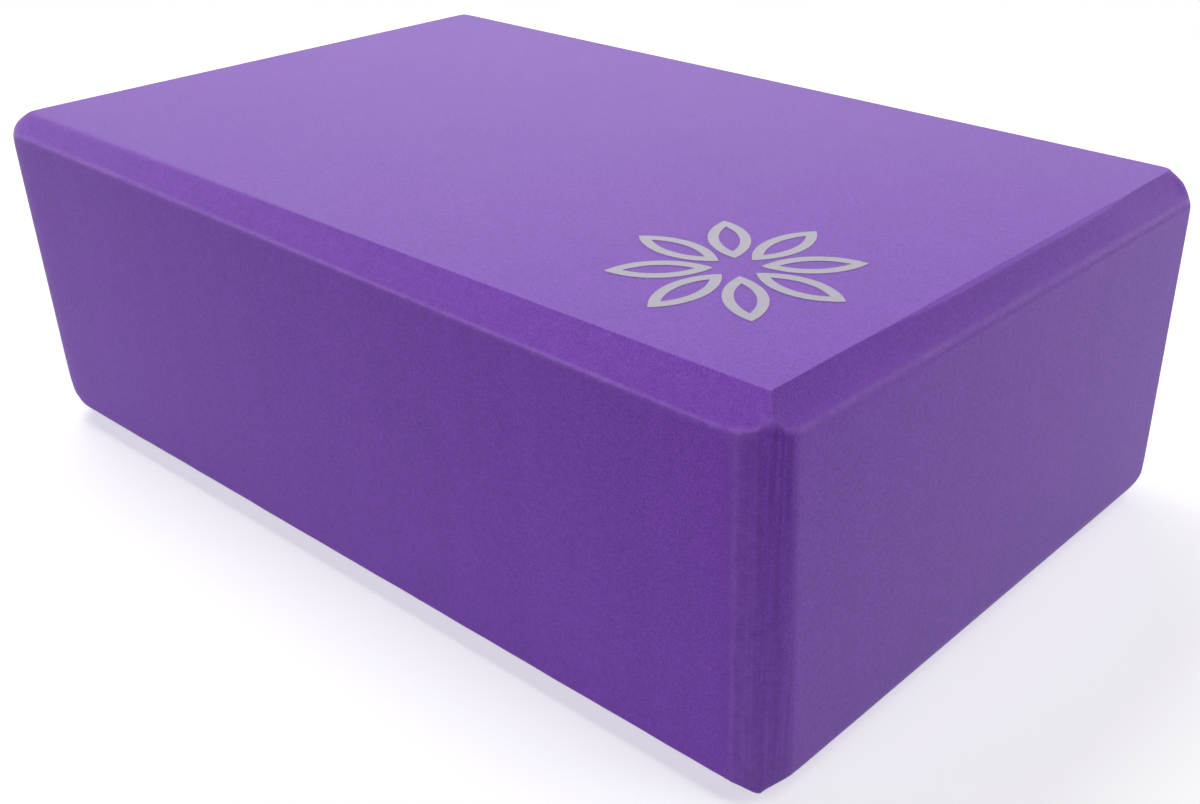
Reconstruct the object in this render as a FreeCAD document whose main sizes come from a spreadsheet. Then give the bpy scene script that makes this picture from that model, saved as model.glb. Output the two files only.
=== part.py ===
import FreeCAD, Part
import math
import os
import Sketcher

# A foam yoga block: one brick of closed-cell foam, with a bevel routed along each of its twelve edges
# and a film of ink printed near one corner of its top face.
# Millimetres. The origin is at the centre of the underside, +X runs along the block and +Z is up.

DRIVING_DIMENSIONS = (
    ("length", 228.6, "end to end"),
    ("width", 145.0, "side to side"),
    ("height", 77.0, "underside to top face"),
    ("edge_inset", 5.5, "how far the bevels round the top and underside reach along those faces"),
    ("edge_drop", 5.2, "how far the same bevels reach along the sides and ends"),
    ("edge_face_radius", 0.6, "rounding where such a bevel meets the top face or the underside"),
    ("edge_side_radius", 1.6, "rounding where such a bevel meets a side or an end"),
    ("upright_side_reach", 7.6, "how far the bevels of the four upright edges reach along the sides"),
    ("upright_end_reach", 5.6, "how far the same bevels reach along the ends"),
    ("upright_radius", 4.5, "rounding where such a bevel meets a side or an end"),
    ("cutter_overrun", 6.0, "how far the router's profile stands clear of the foam"),
    ("mark_from_end", 39.0, "centre of the print to the near end"),
    ("mark_from_side", 39.0, "centre of the print to the front side"),
    ("petal_count", 8, "petals in the print"),
    ("petal_root_radius", 4.2, "centre of the print to a petal's inner point"),
    ("petal_tip_radius", 23.0, "centre of the print to a petal's outer point"),
    ("petal_width", 7.8, "widest part of a petal"),
    ("ink_stroke", 2.0, "width of the printed line round a petal"),
    ("ink_thickness", 0.12, "thickness of the ink film"),
)

doc = FreeCAD.newDocument("yoga_block")
sheet = doc.addObject("Spreadsheet::Sheet", "Sizes")
for row, (alias, value, note) in enumerate(DRIVING_DIMENSIONS, start=1):
    sheet.set(f"A{row}", alias)
    sheet.set(f"B{row}", str(value))
    sheet.setAlias(f"B{row}", alias)
    sheet.set(f"C{row}", note)
doc.recompute()


def size(alias):
    return float(getattr(sheet, alias))


def origin_plane(body, role):
    return next(feature for feature in body.Origin.OriginFeatures if feature.Role == role)


def new_sketch(body, name, role):
    sketch = body.newObject("Sketcher::SketchObject", name)
    sketch.AttachmentSupport = [(origin_plane(body, role), "")]
    sketch.MapMode = "FlatFace"
    return sketch


def bind(sketch, name, constraint, expression):
    index = sketch.addConstraint(constraint)
    sketch.renameConstraint(index, name)
    sketch.setExpression(f"Constraints.{name}", expression)


def rectangle(sketch, width, height, width_expression, height_expression):
    """A rectangle about the sketch's origin."""
    x, y = width / 2, height / 2
    corners = [FreeCAD.Vector(*c, 0) for c in ((-x, -y), (x, -y), (x, y), (-x, y))]
    for start, end in zip(corners, corners[1:] + corners[:1]):
        sketch.addGeometry(Part.LineSegment(start, end))
    for side in range(4):
        sketch.addConstraint(Sketcher.Constraint("Coincident", side, 2, (side + 1) % 4, 1))
        sketch.addConstraint(Sketcher.Constraint("Horizontal" if side % 2 == 0 else "Vertical", side))
    sketch.addConstraint(Sketcher.Constraint("Symmetric", 0, 1, 1, 2, -1, 1))
    bind(sketch, "across", Sketcher.Constraint("DistanceX", 0, 1, 0, 2, width), width_expression)
    bind(sketch, "up", Sketcher.Constraint("DistanceY", 1, 1, 1, 2, height), height_expression)


def cutter_profile(sketch, across, up, inset, drop, side_radius, face_radius):
    """The router's profile at the corner (across / 2, up / 2): a bevel with a rounding at each end.

    The bevel runs from inset along the upper face to drop along the face that stands across.
    side_radius rounds its end on the face that stands across, and face_radius its end on the upper face.
    The arguments after the sketch are names in the sheet.
    """
    x, y = size(across) / 2, size(up) / 2
    side, face = size(side_radius), size(face_radius)
    side_sharp = FreeCAD.Vector(x, y - size(drop), 0)
    face_sharp = FreeCAD.Vector(x - size(inset), y, 0)
    along = (face_sharp - side_sharp).normalize()
    side_turn = math.atan2(size(inset), size(drop))
    quarter = math.pi / 2
    side_reach = side * math.tan(side_turn / 2)
    face_reach = face * math.tan((quarter - side_turn) / 2)

    side_centre = FreeCAD.Vector(x - side, side_sharp.y - side_reach, 0)
    face_centre = FreeCAD.Vector(face_sharp.x - face_reach, y - face, 0)
    side_end = FreeCAD.Vector(x, side_centre.y, 0)
    face_end = FreeCAD.Vector(face_centre.x, y, 0)
    outer = FreeCAD.Vector(x + size("cutter_overrun"), y + size("cutter_overrun"), 0)
    above_face = FreeCAD.Vector(face_end.x, outer.y, 0)
    beside_side = FreeCAD.Vector(outer.x, side_end.y, 0)
    up_axis = FreeCAD.Vector(0, 0, 1)

    side_arc = sketch.addGeometry(Part.ArcOfCircle(Part.Circle(side_centre, up_axis, side), 0, side_turn))
    flat = sketch.addGeometry(
        Part.LineSegment(side_sharp + along * side_reach, face_sharp - along * face_reach))
    face_arc = sketch.addGeometry(
        Part.ArcOfCircle(Part.Circle(face_centre, up_axis, face), side_turn, quarter))
    rise = sketch.addGeometry(Part.LineSegment(face_end, above_face))
    top = sketch.addGeometry(Part.LineSegment(above_face, outer))
    fall = sketch.addGeometry(Part.LineSegment(outer, beside_side))
    back = sketch.addGeometry(Part.LineSegment(beside_side, side_end))
    side_point = sketch.addGeometry(Part.Point(side_sharp), True)
    face_point = sketch.addGeometry(Part.Point(face_sharp), True)

    for constraint in (
        ("Tangent", side_arc, 2, flat, 1),
        ("Tangent", flat, 2, face_arc, 1),
        ("Perpendicular", back, 2, side_arc, 1),
        ("Perpendicular", face_arc, 2, rise, 1),
        ("Coincident", rise, 2, top, 1),
        ("Coincident", top, 2, fall, 1),
        ("Coincident", fall, 2, back, 1),
        ("Vertical", rise),
        ("Horizontal", top),
        ("Vertical", fall),
        ("Horizontal", back),
        ("PointOnObject", side_point, 1, flat),
        ("PointOnObject", face_point, 1, flat),
    ):
        sketch.addConstraint(Sketcher.Constraint(*constraint))

    half_across, half_up = f"Sizes.{across} / 2", f"Sizes.{up} / 2"
    bound = (
        ("side_rounding", ("Radius", side_arc, side), f"Sizes.{side_radius}"),
        ("face_rounding", ("Radius", face_arc, face), f"Sizes.{face_radius}"),
        ("side_place", ("DistanceX", -1, 1, side_arc, 1, x), half_across),
        ("face_place", ("DistanceY", -1, 1, face_arc, 2, y), half_up),
        ("side_sharp_across", ("DistanceX", -1, 1, side_point, 1, x), half_across),
        ("side_sharp_up", ("DistanceY", -1, 1, side_point, 1, side_sharp.y), f"{half_up} - Sizes.{drop}"),
        ("face_sharp_across", ("DistanceX", -1, 1, face_point, 1, face_sharp.x),
         f"{half_across} - Sizes.{inset}"),
        ("face_sharp_up", ("DistanceY", -1, 1, face_point, 1, y), half_up),
        ("outer_across", ("DistanceX", -1, 1, top, 2, outer.x), f"{half_across} + Sizes.cutter_overrun"),
        ("outer_up", ("DistanceY", -1, 1, top, 2, outer.y), f"{half_up} + Sizes.cutter_overrun"),
    )
    for name, constraint, expression in bound:
        bind(sketch, name, Sketcher.Constraint(*constraint), expression)


def router_pass(body, name, role, mirror_roles, **profile):
    """Routs the four parallel edges that stand square to one origin plane."""
    doc.recompute()
    volume_before = body.Shape.Volume
    sketch = new_sketch(body, f"{name}_profile", role)
    cutter_profile(sketch, **profile)
    first_cut = body.newObject("PartDesign::Pocket", f"{name}_first")
    first_cut.Profile = sketch
    first_cut.SideType = "Symmetric"
    first_cut.Type = "ThroughAll"
    doc.recompute()

    all_cuts = body.newObject("PartDesign::MultiTransform", name)
    all_cuts.Originals = [first_cut]
    mirrors = []
    for mirror_role in mirror_roles:
        mirror = body.newObject("PartDesign::Mirrored", f"{name}_{mirror_role}")
        mirror.MirrorPlane = (origin_plane(body, mirror_role), [""])
        mirrors.append(mirror)
    all_cuts.Transformations = mirrors
    body.Tip = all_cuts
    doc.recompute()
    print(f"{name}: took away {volume_before - body.Shape.Volume:.0f} mm3")


def foam_block():
    body = doc.addObject("PartDesign::Body", "FoamBlock")
    body.Label = "foam_block"
    outline = new_sketch(body, "blank_outline", "XY_Plane")
    rectangle(outline, size("length"), size("width"), "Sizes.length", "Sizes.width")
    blank = body.newObject("PartDesign::Pad", "blank")
    blank.Profile = outline
    blank.SideType = "Symmetric"
    blank.setExpression("Length", "Sizes.height")
    doc.recompute()

    edge = {"up": "height", "inset": "edge_inset", "drop": "edge_drop",
            "side_radius": "edge_side_radius", "face_radius": "edge_face_radius"}
    upright = {"across": "length", "up": "width", "inset": "upright_side_reach", "drop": "upright_end_reach",
               "side_radius": "upright_radius", "face_radius": "upright_radius"}
    router_pass(body, "long_edges", "YZ_Plane", ("XZ_Plane", "XY_Plane"), across="width", **edge)
    router_pass(body, "end_edges", "XZ_Plane", ("YZ_Plane", "XY_Plane"), across="length", **edge)
    router_pass(body, "upright_edges", "XY_Plane", ("YZ_Plane", "XZ_Plane"), **upright)
    body.setExpression("Placement.Base.z", "Sizes.height / 2")
    return body


def petal_outline(sketch):
    """A petal's printed line: two lens shapes, one inside the other, lying along the sketch's X axis."""
    root, tip = size("petal_root_radius"), size("petal_tip_radius")
    half_length, half_width = (tip - root) / 2, size("petal_width") / 2
    stroke = size("ink_stroke")
    radius = (half_length**2 + half_width**2) / (2 * half_width)
    middle = (root + tip) / 2
    drop = radius - half_width
    up_axis = FreeCAD.Vector(0, 0, 1)

    def lens(arc_radius):
        """The two arcs of a lens: the upper from tip to root, then the lower from root to tip."""
        spread = math.acos(drop / arc_radius)
        upper = Part.Circle(FreeCAD.Vector(middle, -drop, 0), up_axis, arc_radius)
        lower = Part.Circle(FreeCAD.Vector(middle, drop, 0), up_axis, arc_radius)
        quarter = math.pi / 2
        upper_arc = sketch.addGeometry(Part.ArcOfCircle(upper, quarter - spread, quarter + spread))
        lower_arc = sketch.addGeometry(Part.ArcOfCircle(lower, -quarter - spread, -quarter + spread))
        for constraint in (
            ("Coincident", upper_arc, 2, lower_arc, 1),
            ("Coincident", upper_arc, 1, lower_arc, 2),
            ("PointOnObject", upper_arc, 1, -1),
            ("PointOnObject", upper_arc, 2, -1),
            ("Equal", upper_arc, lower_arc),
        ):
            sketch.addConstraint(Sketcher.Constraint(*constraint))
        return upper_arc

    outer = lens(radius)
    inner = lens(radius - stroke)
    sketch.addConstraint(Sketcher.Constraint("Coincident", inner, 3, outer, 3))
    bind(sketch, "tip", Sketcher.Constraint("DistanceX", -1, 1, outer, 1, tip), "Sizes.petal_tip_radius")
    bind(sketch, "root", Sketcher.Constraint("DistanceX", -1, 1, outer, 2, root), "Sizes.petal_root_radius")
    length_squared = "(Sizes.petal_tip_radius - Sizes.petal_root_radius)^2"
    outer_radius = f"({length_squared} + Sizes.petal_width^2) / (4 * Sizes.petal_width)"
    bind(sketch, "outer_arc", Sketcher.Constraint("Radius", outer, radius), outer_radius)
    bind(sketch, "inner_arc", Sketcher.Constraint("Radius", inner, radius - stroke),
         f"{outer_radius} - Sizes.ink_stroke")


def printed_mark():
    body = doc.addObject("PartDesign::Body", "PrintedMark")
    body.Label = "printed_mark"
    body.AllowCompound = True
    outline = new_sketch(body, "petal_outline", "XY_Plane")
    petal_outline(outline)
    petal = body.newObject("PartDesign::Pad", "petal")
    petal.Profile = outline
    petal.setExpression("Length", "Sizes.ink_thickness")
    doc.recompute()

    rosette = body.newObject("PartDesign::PolarPattern", "rosette")
    rosette.Originals = [petal]
    rosette.Axis = (outline, ["N_Axis"])
    rosette.Angle = 360
    rosette.setExpression("Occurrences", "Sizes.petal_count")
    body.Tip = rosette
    body.setExpression("Placement.Base.x", "Sizes.length / 2 - Sizes.mark_from_end")
    body.setExpression("Placement.Base.y", "Sizes.mark_from_side - Sizes.width / 2")
    body.setExpression("Placement.Base.z", "Sizes.height")
    return body


subparts = [foam_block(), printed_mark()]
doc.recompute()

for item in doc.Objects:
    if "Invalid" in item.State or "Error" in item.State:
        raise RuntimeError(f"{item.Label} did not recompute: {item.State}")
for subpart in subparts:
    if subpart.Shape.isNull() or not subpart.Shape.isValid():
        raise RuntimeError(f"{subpart.Label} has no valid shape")

os.makedirs("parts", exist_ok=True)
for subpart in subparts:
    subpart.Shape.exportStep(f"parts/{subpart.Label}.step")
    box = subpart.Shape.BoundBox
    print(f"{subpart.Label}: {len(subpart.Shape.Solids)} solids, {subpart.Shape.Volume:.1f} mm3,",
          f"{box.XLength:.2f} x {box.YLength:.2f} x {box.ZLength:.2f} mm,",
          f"from {box.ZMin:.2f} to {box.ZMax:.2f} mm up")
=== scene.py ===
import math

import bmesh
import bpy
import numpy as np
from mathutils import Euler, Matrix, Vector


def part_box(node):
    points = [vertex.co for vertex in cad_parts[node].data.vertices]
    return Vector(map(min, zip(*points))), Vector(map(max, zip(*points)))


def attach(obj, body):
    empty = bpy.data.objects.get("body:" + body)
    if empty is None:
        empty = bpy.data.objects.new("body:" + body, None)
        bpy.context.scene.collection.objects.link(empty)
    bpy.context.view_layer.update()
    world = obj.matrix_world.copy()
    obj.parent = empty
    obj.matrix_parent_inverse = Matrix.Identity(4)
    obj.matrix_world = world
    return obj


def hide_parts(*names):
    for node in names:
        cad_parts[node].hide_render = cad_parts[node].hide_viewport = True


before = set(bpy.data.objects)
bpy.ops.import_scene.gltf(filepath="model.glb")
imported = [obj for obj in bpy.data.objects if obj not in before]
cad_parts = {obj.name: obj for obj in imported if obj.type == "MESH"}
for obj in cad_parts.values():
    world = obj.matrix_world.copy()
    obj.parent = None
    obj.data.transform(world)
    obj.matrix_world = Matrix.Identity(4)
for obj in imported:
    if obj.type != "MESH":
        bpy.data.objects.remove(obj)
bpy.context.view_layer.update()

MM = 0.001
X, Y, Z = range(3)
SIGNS = (-1, 1)
WHITE = (1, 1, 1, 1)

# The foam block's own sizes, and how far its bevels reach in over the top and the underside
BLOCK_LOW, BLOCK_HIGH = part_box("foam_block")
LENGTH, WIDTH, HEIGHT = BLOCK_HIGH - BLOCK_LOW
EDGE_INSET = 5.5 * MM

# The router was fed by hand, so no two bevels are quite alike.
# Drop of each bevel along the length, by the signs of its level and side, at the far end and at the near end
LONG_DROPS = {
    (1, -1): (3.75 * MM, 6.0 * MM),
    (1, 1): (5.0 * MM, 5.4 * MM),
    (-1, -1): (6.1 * MM, 5.7 * MM),
    (-1, 1): (5.6 * MM, 5.9 * MM),
}
# Drop of each bevel across the width, by the signs of its level and end, at the front and at the back
CROSS_DROPS = {
    (1, -1): (4.9 * MM, 5.2 * MM),
    (1, 1): (5.35 * MM, 5.75 * MM),
    (-1, -1): (6.0 * MM, 5.7 * MM),
    (-1, 1): (5.5 * MM, 5.4 * MM),
}
# Reach of each upright bevel along the side, then along the end at its foot and at its head, by the signs of
# its end and side
UPRIGHT_REACHES = {
    (-1, -1): (7.8 * MM, 5.7 * MM, 5.5 * MM),
    (-1, 1): (7.5 * MM, 5.4 * MM, 5.6 * MM),
    (1, -1): (6.4 * MM, 7.65 * MM, 4.5 * MM),
    (1, 1): (7.4 * MM, 5.6 * MM, 5.8 * MM),
}

# How deep each worn corner is knocked round, by the signs of its end, side and level. The front corner at the
# top of the near end is sharp, so it has none.
CORNER_CUTS = {
    (-1, -1, 1): 4.3 * MM,
    (-1, 1, 1): 3.8 * MM,
    (1, 1, 1): 3.9 * MM,
    (-1, -1, -1): 7.1 * MM,
    (-1, 1, -1): 4.8 * MM,
    (1, 1, -1): 4.8 * MM,
    (1, -1, -1): 1.9 * MM,
}
# Height above a worn corner's knock at which the bevels start to soften, and at which they are softest
WORN_REACH = (-4.5 * MM, -1.0 * MM)

# The cutter left soft lines beside the edges where the bevels meet the sides and ends. Each line has a
# centre, above 0 on the bevel and below 0 on the face, and a width, and fades out at a few widths from the
# edge. Wear is how far foam goes towards its paler colour, for torn foam and for painted sheen and
# highlights, and is below 0 in a groove, where shade is painted.
LINE_FADE = 4

# Beside each upright bevel the side swelled. The bevel is crowned, and paler from its middle towards the
# side.
UPRIGHT_CROWN = 0.45 * MM
UPRIGHT_FADE = 1.0 * MM
SWELL_HEIGHT = 0.12 * MM
SWELL_LINE = (-0.3 * MM, 0.5 * MM)
SWELL_TORN_LINE = (-0.65 * MM, 0.5 * MM)
SWELL_WEAR = 0.25
UPRIGHT_PALE_REACH = (0.0, 0.7)
UPRIGHT_PALE_WEAR = 0.2

# A thin ridge was pushed up where each long bevel meets its side. It turns narrower and paler towards the
# near end, and its lines are given in ridge widths.
RIDGE_HEIGHT = 0.24 * MM
RIDGE_WIDTHS = (0.6 * MM, 0.3 * MM)
RIDGE_LINE = (0.45, 0.9)
RIDGE_TORN_LINE = (0.75, 1.0)
RIDGE_WEARS = (0.35, 0.55)

# The bevels across the ends are slightly hollow, except that they are crowned at worn corners. Each has a
# paler shoulder, and towards the back a scored groove beside it, painted darker as painted shade in the
# groove, with a second, fainter ridge.
END_HOLLOW = 0.3 * MM
WORN_CROWN = 0.5 * MM
SHOULDER_HEIGHT = 0.05 * MM
SHOULDER_LINE = (0.35 * MM, 0.52 * MM)
# How far the shoulder is turned towards the paler colour
SHOULDER_PALENESS = 0.75
GROOVE_DEPTH = 0.05 * MM
GROOVE_LINE = (-0.4 * MM, 0.2 * MM)
# Below 0: shade is painted into the groove
GROOVE_PAINTED_SHADE = -0.7
GROOVE_STARTS = (-48 * MM, -8 * MM)
SECOND_RIDGE_LINE = (-1.05 * MM, 0.5 * MM)
SECOND_RIDGE_WEAR = 0.15

# Along the top edge of the near end the bevel was cut a little short, which left a lip above it. The edge is
# given by the signs of its level and end.
LIP_EDGE = (1, 1)
LIP_SLOPE = math.radians(26)
LIP_INSET = 0.75 * MM
LIP_FADE = 0.15 * MM
LIP_STARTS = (-48 * MM, -18 * MM)
LIP_STOPS = (32 * MM, 55 * MM)

# How hard the cutter pushed, how that wandered along an edge, as the lengths and turns of waves, and the
# share by which it eased off towards an upright bevel
PUSH = 0.85
PUSH_SWING = 0.25
WANDER_WAVES = ((71 * MM, 1.0), (29 * MM, 1.7), (13 * MM, 2.9))
SIDE_EASE = 0.6
END_EASE = 0.9

# Where a long bevel meets one across an end, the cutter turned, over a short reach, and a pale line is
# painted along the mitre as its highlight.
MITRE_WIDTH = 0.2 * MM
MITRE_FADE = 0.5 * MM
MITRE_PAINTED_HIGHLIGHT = 0.5
TURN_REACH = (-1.0 * MM, 1.0 * MM)

# Painted sheen: a plain paler, greyer tone given to the bevels along the length, across the width, and
# upright from foot to head
LONG_PAINTED_SHEEN = 0.18
CROSS_PAINTED_SHEEN = 0.08
UPRIGHT_PAINTED_SHEENS = (0.32, 0.05)

# How softly the bevels run into each other and into the faces. The edges turn crisper towards the near end.
CRISP_REACH = (-90 * MM, 30 * MM)
UPRIGHT_SIDE_SOFTNESS = 0.75 * MM
UPRIGHT_END_SOFTNESS = 0.28 * MM
SIDE_SHOULDER_SOFTNESSES = (0.22 * MM, 0.1 * MM)
END_SHOULDER_SOFTNESS = 0.3 * MM
CORNER_SOFTNESS = 1.2 * MM
MITRE_SOFTNESS = 0.14 * MM
WORN_CORNER_SOFTNESS = 0.9 * MM
TOP_SOFTNESSES = (0.25 * MM, 0.02 * MM)
SHARE_SOFTNESS = 0.3 * MM

# Loops that follow each edge, given as steps inward from it, and the spacing of the cuts across them, which
# lie closer together within reach of a corner
FACE_STEPS = [0.2 * MM] * 7 + [step * MM for step in (0.3, 0.4, 0.5, 0.7, 1.0, 1.5, 2.5)]
BEVEL_STEPS = [step * MM for step in (0.15, 0.15, 0.15, 0.15, 0.2, 0.2, 0.25, 0.35)]
UPRIGHT_STEPS = BEVEL_STEPS + [step * MM for step in (0.4, 0.5, 0.6)]
CUT_SPACING = 2.6 * MM
CORNER_SPACING = 0.8 * MM
CORNER_REACH = 8.0 * MM

# What counts as lying on a face, as square to an axis, and as one point
FACE_TOLERANCE = 0.01 * MM
SQUARE_TOLERANCE = 0.1
MERGE_DISTANCE = 0.03 * MM

# The foam's colours and marks: how many of a mark go to a metre, and how far it shifts the tone from dark to
# light. Clumps also break up the torn foam and the painted light. The paler colour serves torn foam, painted
# sheen and painted highlights.
FOAM_DARK = (0.197, 0.0415, 0.526, 1)
FOAM_LIGHT = (0.364, 0.0935, 0.853, 1)
FOAM_TORN_AND_PAINTED_LIGHT = (0.4, 0.18, 0.76, 1)
TONE_MIDDLE = 0.5
NOISE_MIDDLE = 0.5
CELL_COUNT = 2900
CELL_SHADE = 2.3
CLUMP_COUNT = 700
CLUMP_SHADE = 0.3
CLUMP_TEAR = 1.4
CLOUD_COUNT = 30
CLOUD_SHADE = 0.2
SAW_COUNT = 130
SAW_SHADE = 0.2
SAW_STRETCH = (1, 1, 0.05)
PORE_COUNT = 220
# Open pores are painted darker, as painted shade in their hollows
PORE_SHADE = 0.45
PORE_RIM = ((0.03, 1), (0.06, 0))
# How far the painted shade in the grooves darkens the tone
PAINTED_GROOVE_SHADE = 0.6

# Streaks of the router on the bevels along the length, across the width and upright: how far they shift the
# tone, and the noise that leaves it as it is
STREAK_COUNT = 1400
STREAK_STRETCH = 0.012
STREAK_SHADES = (0.3, 0.3, 1.8)
STREAK_MIDDLES = (NOISE_MIDDLE, NOISE_MIDDLE, 0.64)

# How rough the foam is, and how high or deep its marks are beside its cells
FOAM_ROUGHNESS = 0.6
ROUGHNESS_SWING = 0.1
CLUMP_RELIEF = 0.6
STREAK_RELIEF = 2.0
PORE_RELIEF = 3.0

# The ink's two greys, the tint of the foam where it is thin, and its specks and patches to a metre
INK_DARK = (0.495, 0.46, 0.57, 1)
INK_LIGHT = (0.63, 0.59, 0.69, 1)
INK_THIN = (0.3, 0.2, 0.5, 1)
SPECK_COUNT = 2600
SPECK_RIM = ((0.62, 0), (0.78, 1))
SPECK_SHADE = 0.55
PATCH_COUNT = 300
INK_ROUGHNESS = 0.5
PATCH_ROUGHNESS = 0.15

# Lamps, all at one distance from the block. Each kind has a height angle and a size.
LAMP_DISTANCE = 1.1
LAMP_CENTRE = Vector((0, 0, 40 * MM))
HIGH_LAMP = (60, (0.5, 0.45))
SLANTING_LAMP = (32, (0.7, 0.45))
LOW_LAMP = (10, (0.7, 0.3))
# Name, direction round the block from +X, kind and power
SOFTBOXES = (
    ("over far end", 180, HIGH_LAMP, 4.6),
    ("over near end", 0, HIGH_LAMP, 2.45),
    ("low behind", 90, LOW_LAMP, 1.2),
    ("behind far end", 135, SLANTING_LAMP, 2.8),
    ("low behind near end", 45, LOW_LAMP, 2.35),
    ("before far end", 225, SLANTING_LAMP, 0.7),
    ("low before", 270, LOW_LAMP, 1.9),
)

# A round floor, which ends where the lamps' light fades, and what lifts it to white
FLOOR_RADIUS = 0.5
FLOOR_SEGMENTS = 96
FLOOR_COLOUR = (0.8, 0.8, 0.8, 1)
FLOOR_LIFT = 0.58

# Camera of the photograph
CAMERA_PLACE = Vector((220.6, -214.8, 170.3)) * MM
CAMERA_HEADING = math.radians(40.98)
CAMERA_DIP = math.radians(30.24)
CAMERA_SENSOR = 36.0
CAMERA_LENS = 43.0
CAMERA_SHIFT = (-0.0698, 0.0632)
CAMERA_CLIP_START = 10 * MM


class Socket:
    """A socket of a material. Arithmetic on it adds Math nodes, and node() adds any other node.

    One without an output only adds nodes.
    """

    def __init__(self, tree, output=None):
        self.tree = tree
        self.output = output

    def node(self, kind, settings=(), sockets=(), output=0):
        made = self.tree.nodes.new(kind)
        for name, value in dict(settings).items():
            if name == "stops":
                set_stops(made.color_ramp, value)
            else:
                setattr(made, name, value)
        for key, value in dict(sockets).items():
            if isinstance(value, Socket):
                self.tree.links.new(value.output, made.inputs[key])
            else:
                made.inputs[key].default_value = value
        return Socket(self.tree, made.outputs[output] if made.outputs else None)

    def math(self, operation, *values):
        return self.node("ShaderNodeMath", {"operation": operation}, dict(enumerate(values)))

    def __add__(self, other):
        return self.math("ADD", self, other)

    def __sub__(self, other):
        return self.math("SUBTRACT", self, other)

    def __rsub__(self, other):
        return self.math("SUBTRACT", other, self)

    def __mul__(self, other):
        return self.math("MULTIPLY", self, other)

    __radd__ = __add__
    __rmul__ = __mul__


def set_stops(ramp, stops):
    """Gives a colour ramp its (position, grey) stops."""
    while len(ramp.elements) < len(stops):
        ramp.elements.new(1.0)
    for element, (position, grey) in zip(ramp.elements, stops):
        element.position = position
        element.color = (grey, grey, grey, 1)


def new_material(name):
    material = bpy.data.materials.new(name)
    material.use_nodes = True
    material.node_tree.nodes.clear()
    return material, Socket(material.node_tree)


def finish_material(shade, shader):
    shade.node("ShaderNodeOutputMaterial", {}, {"Surface": shader})


def object_place(shade):
    return shade.node("ShaderNodeTexCoord", output="Object")


def noise(shade, place, count, detail=2.0, roughness=0.5):
    """Noise from 0 to 1, with so many features to a metre."""
    return shade.node("ShaderNodeTexNoise", {}, {
        "Vector": place, "Scale": count, "Detail": detail, "Roughness": roughness})


def stretched(shade, place, scale):
    return shade.node("ShaderNodeMapping", {}, {"Vector": place, "Scale": scale})


def mix_colour(shade, factor, first, second):
    """Mixes two colours, which are the Mix node's inputs 6 and 7 and come out at its output 2."""
    return shade.node("ShaderNodeMix", {"data_type": "RGBA"}, {0: factor, 6: first, 7: second}, output=2)


def router_streaks(shade, place):
    """Fine lines along each routed bevel, strongest on the uprights."""
    routed = shade.node("ShaderNodeAttribute", {"attribute_name": "routed"}, output="Vector")
    streaks = None
    for axis, (strength, middle) in enumerate(zip(STREAK_SHADES, STREAK_MIDDLES)):
        along = [1.0, 1.0, 1.0]
        along[axis] = STREAK_STRETCH
        mask = shade.node("ShaderNodeSeparateXYZ", {}, {"Vector": routed}, output=axis)
        lines = noise(shade, stretched(shade, place, along), STREAK_COUNT, roughness=0.6)
        lines = (lines - middle) * mask * strength
        streaks = lines if streaks is None else streaks + lines
    return streaks


def foam_material():
    """Firm closed-cell foam: matt, finely grained, with a few open pores painted dark as painted shade, torn
    paler by the router, and with painted sheen on its bevels, painted highlights along its mitres and painted
    shade in its grooves.
    """
    material, shade = new_material("purple_foam")
    place = object_place(shade)
    # Above 0 the foam turns paler, for torn foam, painted sheen and painted highlights; below 0 it is painted
    # shade in a groove
    wear = shade.node("ShaderNodeAttribute", {"attribute_name": "wear"}, output="Fac")
    lightened = shade.math("MAXIMUM", wear, 0.0)
    # Painted shade: the foam in a groove is darkened where the wear is below 0
    grooved_and_shaded = shade.math("MAXIMUM", 0 - wear, 0.0)

    cells = noise(shade, place, CELL_COUNT, roughness=0.6) - NOISE_MIDDLE
    clumps = noise(shade, place, CLUMP_COUNT, detail=1.0) - NOISE_MIDDLE
    clouds = noise(shade, place, CLOUD_COUNT, roughness=0.55) - NOISE_MIDDLE
    saw_bands = noise(shade, stretched(shade, place, SAW_STRETCH), SAW_COUNT, detail=1.0) - NOISE_MIDDLE
    # Pores: hollows, darkened by painted shade
    pore_distance = shade.node("ShaderNodeTexVoronoi", {}, {"Vector": place, "Scale": PORE_COUNT})
    pores = shade.node("ShaderNodeValToRGB", {"stops": PORE_RIM}, {"Fac": pore_distance})
    streaks = router_streaks(shade, place)

    grain = cells * CELL_SHADE + clumps * CLUMP_SHADE
    bands = clouds * CLOUD_SHADE + saw_bands * SAW_SHADE + streaks
    tone = TONE_MIDDLE + grain + bands - grooved_and_shaded * PAINTED_GROOVE_SHADE - pores * PORE_SHADE
    skin = mix_colour(shade, tone, FOAM_DARK, FOAM_LIGHT)
    colour = mix_colour(shade, lightened * (1 + clumps * CLUMP_TEAR), skin, FOAM_TORN_AND_PAINTED_LIGHT)
    roughness = FOAM_ROUGHNESS + clouds * ROUGHNESS_SWING + cells * ROUGHNESS_SWING
    height = cells + clumps * CLUMP_RELIEF + streaks * STREAK_RELIEF - pores * PORE_RELIEF
    normal = shade.node("ShaderNodeBump", {}, {"Strength": 0.5, "Distance": 0.05 * MM, "Height": height})
    finish_material(shade, shade.node("ShaderNodeBsdfPrincipled", {}, {
        "Base Color": colour, "Roughness": roughness, "Normal": normal,
        "IOR": 1.45, "Specular IOR Level": 0.125, "Sheen Weight": 0.53, "Sheen Roughness": 0.5}))
    return material


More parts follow.
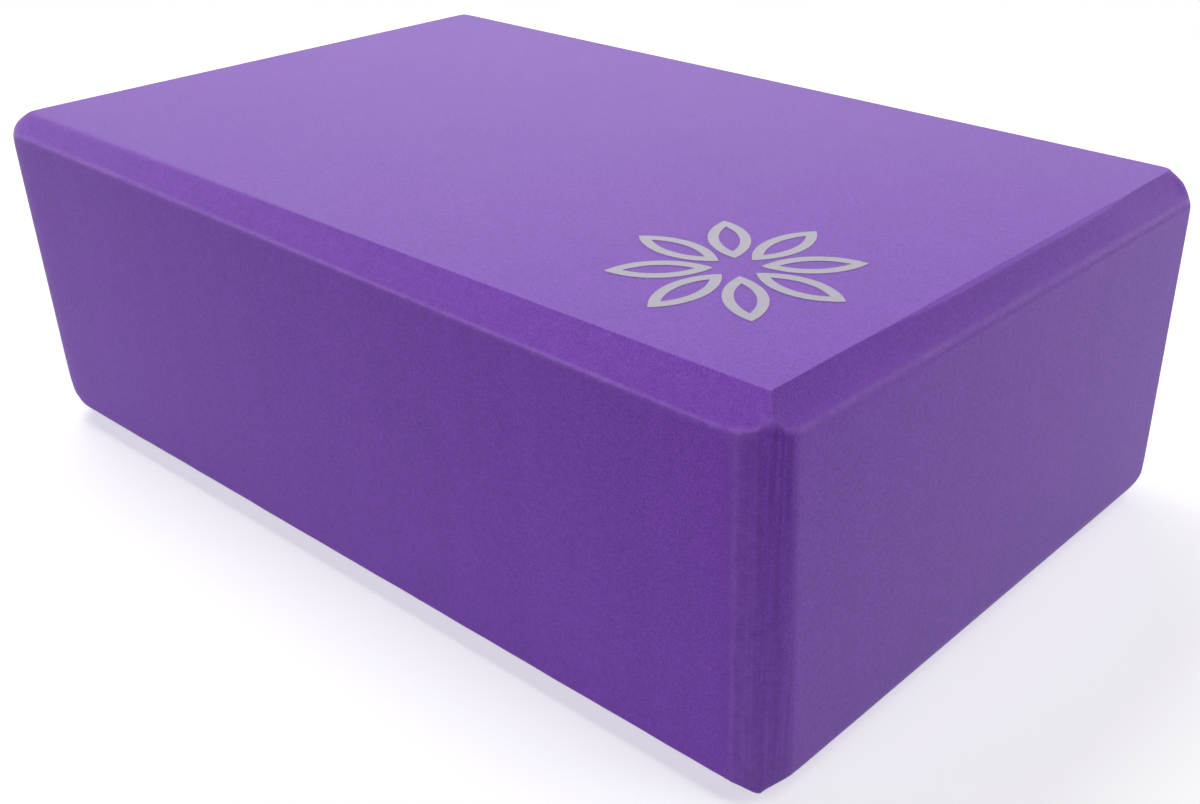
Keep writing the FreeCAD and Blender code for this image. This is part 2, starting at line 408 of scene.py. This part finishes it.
def ink_material():
    """Matt silver-grey printing ink, thin enough to let the foam's grain show as specks."""
    material, shade = new_material("silver_ink")
    place = object_place(shade)
    specks = noise(shade, place, SPECK_COUNT, roughness=0.7)
    patches = noise(shade, place, PATCH_COUNT)
    thin = shade.node("ShaderNodeValToRGB", {"stops": SPECK_RIM}, {"Fac": specks})
    pale = mix_colour(shade, patches, INK_DARK, INK_LIGHT)
    colour = mix_colour(shade, thin * SPECK_SHADE, pale, INK_THIN)
    roughness = INK_ROUGHNESS + patches * PATCH_ROUGHNESS
    normal = shade.node("ShaderNodeBump", {}, {"Strength": 0.25, "Distance": 0.1 * MM, "Height": specks})
    finish_material(shade, shade.node("ShaderNodeBsdfPrincipled", {}, {
        "Base Color": colour, "Roughness": roughness, "Normal": normal}))
    return material


def background_rays(shade):
    """1 for rays that show the background: straight to the camera, in a gloss, or through glass."""
    kinds = ("Camera", "Glossy", "Transmission")
    camera, glossy, through = (shade.node("ShaderNodeLightPath", output=f"Is {kind} Ray") for kind in kinds)
    return shade.math("MAXIMUM", camera, shade.math("MAXIMUM", glossy, through))


def floor_material():
    """A pale floor, lifted to white where it is seen as background. It keeps the shadow of what is on it."""
    material, shade = new_material("floor")
    diffuse = shade.node("ShaderNodeBsdfDiffuse", {}, {"Color": FLOOR_COLOUR})
    strength = background_rays(shade) * FLOOR_LIFT
    lift = shade.node("ShaderNodeEmission", {}, {"Color": WHITE, "Strength": strength})
    finish_material(shade, shade.node("ShaderNodeAddShader", {}, {0: diffuse, 1: lift}))
    return material


def add_object(name, data):
    made = bpy.data.objects.new(name, data)
    bpy.context.scene.collection.objects.link(made)
    return made


def finished_mesh(name, bm):
    mesh = bpy.data.meshes.new(name)
    bm.to_mesh(mesh)
    bm.free()
    return mesh


def add_attribute(mesh, name, kind, values):
    field = "vector" if kind == "FLOAT_VECTOR" else "value"
    attribute = mesh.attributes.new(name, kind, "POINT")
    attribute.data.foreach_set(field, np.ascontiguousarray(values, np.float32).ravel())


def between(pair, share):
    """A value at a share of the way from the first of a pair to the second."""
    return pair[0] + (pair[1] - pair[0]) * share


def all_geometry(bm):
    return bm.verts[:] + bm.edges[:] + bm.faces[:]


def rout_edge(bm, first, second):
    """Cuts one straight bevel between two faces.

    Each face is (axis, sign, reach), and its reach is how far the bevel goes along that axis.
    """
    first_axis, first_sign, first_reach = first
    second_axis, second_sign, second_reach = second
    half = Vector((LENGTH, WIDTH, HEIGHT)) / 2
    normal = Vector()
    normal[first_axis] = first_sign * second_reach
    normal[second_axis] = second_sign * first_reach
    point = Vector((0, 0, half.z))
    point[first_axis] += first_sign * half[first_axis]
    point[second_axis] += second_sign * (half[second_axis] - second_reach)
    cut = bmesh.ops.bisect_plane(
        bm, geom=all_geometry(bm), plane_co=point, plane_no=normal.normalized(), clear_outer=True)
    rim = [item for item in cut["geom_cut"] if isinstance(item, bmesh.types.BMEdge)]
    bmesh.ops.contextual_create(bm, geom=rim)


def routed_blank():
    """The sawn blank with its twelve edges routed: six faces and twelve bevels."""
    bm = bmesh.new()
    bmesh.ops.create_cube(bm, size=1.0)
    bmesh.ops.scale(bm, vec=(LENGTH, WIDTH, HEIGHT), verts=bm.verts)
    bmesh.ops.translate(bm, vec=(0, 0, HEIGHT / 2), verts=bm.verts)
    for level in SIGNS:
        for sign in SIGNS:
            rout_edge(bm, (Y, sign, EDGE_INSET), (Z, level, between(LONG_DROPS[level, sign], 0.5)))
            rout_edge(bm, (X, sign, EDGE_INSET), (Z, level, between(CROSS_DROPS[level, sign], 0.5)))
    for (end, side), (side_reach, *end_reaches) in UPRIGHT_REACHES.items():
        rout_edge(bm, (X, end, side_reach), (Y, side, between(end_reaches, 0.5)))
    bmesh.ops.recalc_face_normals(bm, faces=bm.faces)
    return bm


def follow_uneven_bevels(bm):
    """Slides the corners of the sides and ends to where the uneven bevels meet them."""
    for vert in bm.verts:
        x, y, z = vert.co
        end, side, level = (1 if offset > 0 else -1 for offset in (x, y, z - HEIGHT / 2))
        if abs(y) > WIDTH / 2 - FACE_TOLERANCE:
            drop = between(LONG_DROPS[level, side], x / LENGTH + 0.5)
        elif abs(x) > LENGTH / 2 - FACE_TOLERANCE:
            drop = between(CROSS_DROPS[level, end], y / WIDTH + 0.5)
            vert.co.y = side * (WIDTH / 2 - between(UPRIGHT_REACHES[end, side][1:], z / HEIGHT))
        else:
            continue
        vert.co.z = HEIGHT / 2 + level * (HEIGHT / 2 - drop)


def edge_loops(bm):
    """Loops that run beside every edge, closest together at the edge itself."""
    plain, upright, bevel = [], [], []
    for face in bm.faces:
        slants = [abs(part) > SQUARE_TOLERANCE for part in face.normal]
        if sum(slants) == 1:
            plain.append(face)
        elif slants[Z]:
            bevel.append(face)
        else:
            upright.append(face)
    for faces, steps in ((plain, FACE_STEPS), (upright, UPRIGHT_STEPS), (bevel, BEVEL_STEPS)):
        for step in steps:
            bmesh.ops.inset_individual(bm, faces=faces, thickness=step, use_even_offset=True)


def cross_cuts(bm):
    """Cuts across the loops along the length, the width and the height, closer together at the corners."""
    close = np.arange(CORNER_SPACING, CORNER_REACH, CORNER_SPACING)
    for axis, (low, high) in enumerate(zip(BLOCK_LOW, BLOCK_HIGH)):
        count = round((high - low - 2 * CORNER_REACH) / CUT_SPACING)
        wide = np.linspace(low + CORNER_REACH, high - CORNER_REACH, count)
        normal = Vector()
        normal[axis] = 1
        for place in (*(low + close), *wide, *(high - close)):
            bmesh.ops.bisect_plane(bm, geom=all_geometry(bm), plane_co=normal * place, plane_no=normal)


def ramp(value, low, high):
    """Eases from 0 to 1 between two values."""
    share = np.clip((value - low) / (high - low), 0, 1)
    return share * share * (3 - 2 * share)


def soft_line(offset, width):
    """1 where an offset is 0, and fading out over a width on both sides."""
    return np.exp(-(offset / width) ** 2)


def arched(across):
    """1 midway across a bevel, and 0 at the edges, which lie at -1 and 1."""
    return np.clip(1 - across ** 2, 0, 1)


def smooth_max(values, softness):
    """The largest of several heights, rounded over where two of them are nearly equal."""
    top = np.max(values, axis=0)
    return top + softness * np.log(sum(np.exp((value - top) / softness) for value in values))


def bevel_height(first, first_reach, second, second_reach):
    """Height above a bevel's plane, from the depths below the two faces that it joins."""
    steepness = np.sqrt(1 / first_reach ** 2 + 1 / second_reach ** 2)
    return (1 - first / first_reach - second / second_reach) / steepness


def bead(bevel, face, centre, width):
    """A soft line beside the edge where a bevel meets a face, from the heights above both."""
    near_edge = soft_line(bevel, LINE_FADE * width)
    return near_edge * soft_line(bevel - face - centre, width)


def wander(place, seed):
    """A slow unevenness along an edge, from about -1 to 1."""
    waves = [np.sin(place / length * math.tau + seed * turn) for length, turn in WANDER_WAVES]
    return sum(waves) / len(waves)


class FoamSkin:
    """Heights above the faces and bevels of the block at some points, and the router's marks there.

    ends, sides and levels are depths below the faces. raised is foam pushed up above the skin, and wear is
    above 0 where foam is torn paler and where sheen and highlights are painted, and below 0 in a groove,
    where shade is painted. worn is 1 at the worn corners.
    """

    def __init__(self, points):
        x, y, z = points.T
        self.ends = {sign: LENGTH / 2 - sign * x for sign in SIGNS}
        self.sides = {sign: WIDTH / 2 - sign * y for sign in SIGNS}
        self.levels = {1: HEIGHT - z, -1: z}
        self.place = x, y, z
        self.crisp = ramp(x, *CRISP_REACH)
        self.raised = np.zeros(len(points))
        self.wear = np.zeros(len(points))
        self.uprights, self.long_rims, self.cross_rims = [], [], []
        self.knocks = [
            cut - (self.ends[end] + self.sides[side] + self.levels[level]) / math.sqrt(3)
            for (end, side, level), cut in CORNER_CUTS.items()]
        self.worn = ramp(np.max(self.knocks, axis=0), *WORN_REACH)
        self.rout_uprights()
        for level in SIGNS:
            for sign in SIGNS:
                self.rout_along(level, sign)
                self.rout_across(level, sign)
        self.mitre_highlights_and_turns()

    def rout_uprights(self):
        z = self.place[Z]
        for (end, side), (side_reach, *end_reaches) in UPRIGHT_REACHES.items():
            end_reach = between(end_reaches, z / HEIGHT)
            across = self.sides[side] / end_reach - self.ends[end] / side_reach
            upright = bevel_height(self.ends[end], side_reach, self.sides[side], end_reach)
            upright = upright - UPRIGHT_CROWN * arched(across)
            paler = soft_line(upright, UPRIGHT_FADE) * ramp(-across, *UPRIGHT_PALE_REACH)
            self.raised += SWELL_HEIGHT * bead(upright, -self.sides[side], *SWELL_LINE)
            self.wear += SWELL_WEAR * bead(upright, -self.sides[side], *SWELL_TORN_LINE)
            self.wear += UPRIGHT_PALE_WEAR * paler
            self.uprights.append(upright)
        faces = [-self.sides[1], -self.sides[-1]]
        wall = smooth_max(faces + self.uprights, UPRIGHT_SIDE_SOFTNESS)
        self.wall = smooth_max([wall, -self.ends[1], -self.ends[-1]], UPRIGHT_END_SOFTNESS)
        self.corner = soft_line(np.minimum(np.max(self.uprights, axis=0), 0), UPRIGHT_FADE)

    def push(self, place, seed, ease):
        """How hard the cutter pushed along an edge. Each edge has its own seed."""
        return (PUSH + PUSH_SWING * wander(place, seed)) * (1 - ease * self.corner)

    def rout_along(self, level, side):
        x = self.place[X]
        drop = between(LONG_DROPS[level, side], x / LENGTH + 0.5)
        rim = bevel_height(self.sides[side], EDGE_INSET, self.levels[level], drop)
        push = self.push(x, 3 * level + side, SIDE_EASE)
        width = between(RIDGE_WIDTHS, self.crisp)
        ridge = bead(rim, self.wall, *(share * width for share in RIDGE_LINE))
        lightened = bead(rim, self.wall, *(share * width for share in RIDGE_TORN_LINE))
        self.raised += RIDGE_HEIGHT * push * ridge
        self.wear += between(RIDGE_WEARS, self.crisp) * push * lightened
        self.long_rims.append(rim)

    def rout_across(self, level, end):
        y = self.place[Y]
        inset = EDGE_INSET
        if (level, end) == LIP_EDGE:
            inset = inset - LIP_INSET * self.leave_lip()
        drop = between(CROSS_DROPS[level, end], y / WIDTH + 0.5)
        across = self.levels[level] / drop - self.ends[end] / inset
        rim = bevel_height(self.ends[end], inset, self.levels[level], drop)
        rim = rim + between((END_HOLLOW, -WORN_CROWN), self.worn) * arched(across)
        push = self.push(y, 3 * level + end + 1, END_EASE)
        # Where the groove and its painted shade start, towards the back
        grooved_and_shaded = ramp(y, *GROOVE_STARTS)
        shoulder = bead(rim, self.wall, *SHOULDER_LINE)
        groove = grooved_and_shaded * bead(rim, self.wall, *GROOVE_LINE)
        second = grooved_and_shaded * bead(rim, self.wall, *SECOND_RIDGE_LINE)
        self.raised += push * (SHOULDER_HEIGHT * (shoulder + second) - GROOVE_DEPTH * groove)
        self.wear += push * (SHOULDER_PALENESS * shoulder + SECOND_RIDGE_WEAR * second + GROOVE_PAINTED_SHADE * groove)
        self.cross_rims.append(rim)

    def leave_lip(self):
        """A narrow facet along the top edge of the near end. Gives how far it is there, from 0 to 1."""
        y = self.place[Y]
        there = ramp(y, *LIP_STARTS) * (1 - ramp(y, *LIP_STOPS))
        slope = (EDGE_INSET - self.ends[1]) * math.sin(LIP_SLOPE) - self.levels[1] * math.cos(LIP_SLOPE)
        self.lip = slope - LIP_FADE * (1 - there)
        return there

    def mitre_highlights_and_turns(self):
        along = np.max(self.long_rims, axis=0)
        across = np.max(self.cross_rims, axis=0)
        on_bevel = soft_line(np.maximum(along, across), MITRE_FADE)
        # Painted highlight: a pale line along each mitre, left off at worn corners
        self.wear += MITRE_PAINTED_HIGHLIGHT * (1 - self.worn) * on_bevel * soft_line(along - across, MITRE_WIDTH)
        self.turned = ramp(across - along, *TURN_REACH)

    def height(self):
        """Height above the finished skin."""
        mitre = between((MITRE_SOFTNESS, WORN_CORNER_SOFTNESS), self.worn)
        shoulder = between(SIDE_SHOULDER_SOFTNESSES, self.crisp)
        shoulder = between((shoulder, END_SHOULDER_SOFTNESS), self.turned)
        shoulder = between((shoulder, WORN_CORNER_SOFTNESS), self.worn)
        top = between(TOP_SOFTNESSES, self.crisp)
        rims = smooth_max(self.long_rims + self.cross_rims, mitre)
        routed = smooth_max([self.wall, rims], shoulder)
        knocked = smooth_max([routed] + self.knocks, CORNER_SOFTNESS)
        skin = smooth_max([knocked, self.lip, -self.levels[1], -self.levels[-1]], top)
        return skin - self.raised * (1 - self.worn)

    def routed_shares(self):
        """How much of the skin at each point is a bevel along the length, across the width, or upright."""
        faces = [-depths[sign] for depths in (self.ends, self.sides, self.levels) for sign in SIGNS]
        groups = (self.long_rims, self.cross_rims, self.uprights, faces)
        shares = np.array([sum(np.exp(height / SHARE_SOFTNESS) for height in group) for group in groups])
        return shares[:3] / shares.sum(axis=0)


def settle(points, rounds=5, reach=0.01 * MM):
    """Moves points along the slope of the skin until they lie on it."""
    for _ in range(rounds):
        slope = np.empty_like(points)
        for axis in (X, Y, Z):
            nudge = np.zeros(3)
            nudge[axis] = reach
            slope[:, axis] = FoamSkin(points + nudge).height() - FoamSkin(points - nudge).height()
        slope /= 2 * reach
        points = points - (FoamSkin(points).height() / np.sum(slope ** 2, axis=1))[:, None] * slope
    return points


def foam_block():
    """The foam block, with its bevels sculpted as the router left them."""
    bm = routed_blank()
    follow_uneven_bevels(bm)
    edge_loops(bm)
    cross_cuts(bm)
    bmesh.ops.remove_doubles(bm, verts=bm.verts, dist=MERGE_DISTANCE)
    mesh = finished_mesh("foam_block_skin", bm)
    points = np.empty(len(mesh.vertices) * 3)
    mesh.vertices.foreach_get("co", points)
    points = settle(points.reshape(-1, 3))
    mesh.vertices.foreach_set("co", points.ravel())
    skin = FoamSkin(points)
    routed = skin.routed_shares()
    along, across, upright = routed
    upright_painted_sheen = between(UPRIGHT_PAINTED_SHEENS, points[:, Z] / HEIGHT)
    # Painted sheen: every bevel is turned a plain amount paler and greyer
    painted_sheen = LONG_PAINTED_SHEEN * along + CROSS_PAINTED_SHEEN * across + upright_painted_sheen * upright
    add_attribute(mesh, "routed", "FLOAT_VECTOR", routed.T)
    add_attribute(mesh, "wear", "FLOAT", skin.wear + painted_sheen)
    mesh.polygons.foreach_set("use_smooth", np.ones(len(mesh.polygons), bool))
    mesh.update()
    mesh.materials.append(foam_material())
    return add_object("foam_block_skin", mesh)


def softbox(name, turn, kind, power):
    """An area light that faces the block from a turn and a rise in degrees."""
    rise, size = kind
    light = bpy.data.lights.new(name, "AREA")
    light.shape = "RECTANGLE"
    light.size, light.size_y = size
    light.energy = power
    lamp = add_object(name, light)
    towards = Euler((0, -math.radians(rise), math.radians(turn))).to_matrix() @ Vector((1, 0, 0))
    lamp.location = LAMP_CENTRE + LAMP_DISTANCE * towards
    lamp.rotation_euler = (-towards).to_track_quat("-Z", "Y").to_euler()


def light_studio():
    for lamp in SOFTBOXES:
        softbox(*lamp)
    world = bpy.data.worlds.new("studio")
    bpy.context.scene.world = world
    world.use_nodes = True
    world.node_tree.nodes.clear()
    shade = Socket(world.node_tree)
    backdrop = shade.node("ShaderNodeBackground", {}, {"Color": WHITE, "Strength": background_rays(shade)})
    shade.node("ShaderNodeOutputWorld", {}, {"Surface": backdrop})


def lay_floor():
    bm = bmesh.new()
    bmesh.ops.create_circle(bm, cap_ends=True, segments=FLOOR_SEGMENTS, radius=FLOOR_RADIUS)
    mesh = finished_mesh("floor", bm)
    mesh.materials.append(floor_material())
    floor = add_object("floor", mesh)


def set_camera():
    data = bpy.data.cameras.new("camera")
    data.sensor_width = CAMERA_SENSOR
    data.lens = CAMERA_LENS
    data.shift_x, data.shift_y = CAMERA_SHIFT
    data.clip_start = CAMERA_CLIP_START
    camera = add_object("camera", data)
    camera.location = CAMERA_PLACE
    camera.rotation_euler = Euler((math.radians(90) - CAMERA_DIP, 0, CAMERA_HEADING))
    bpy.context.scene.camera = camera


block = foam_block()
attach(block, "root")
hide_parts("foam_block")

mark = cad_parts["printed_mark"]
mark.data.materials.clear()
mark.data.materials.append(ink_material())

set_camera()
light_studio()
lay_floor()
bpy.context.scene.view_settings.view_transform = "Standard"
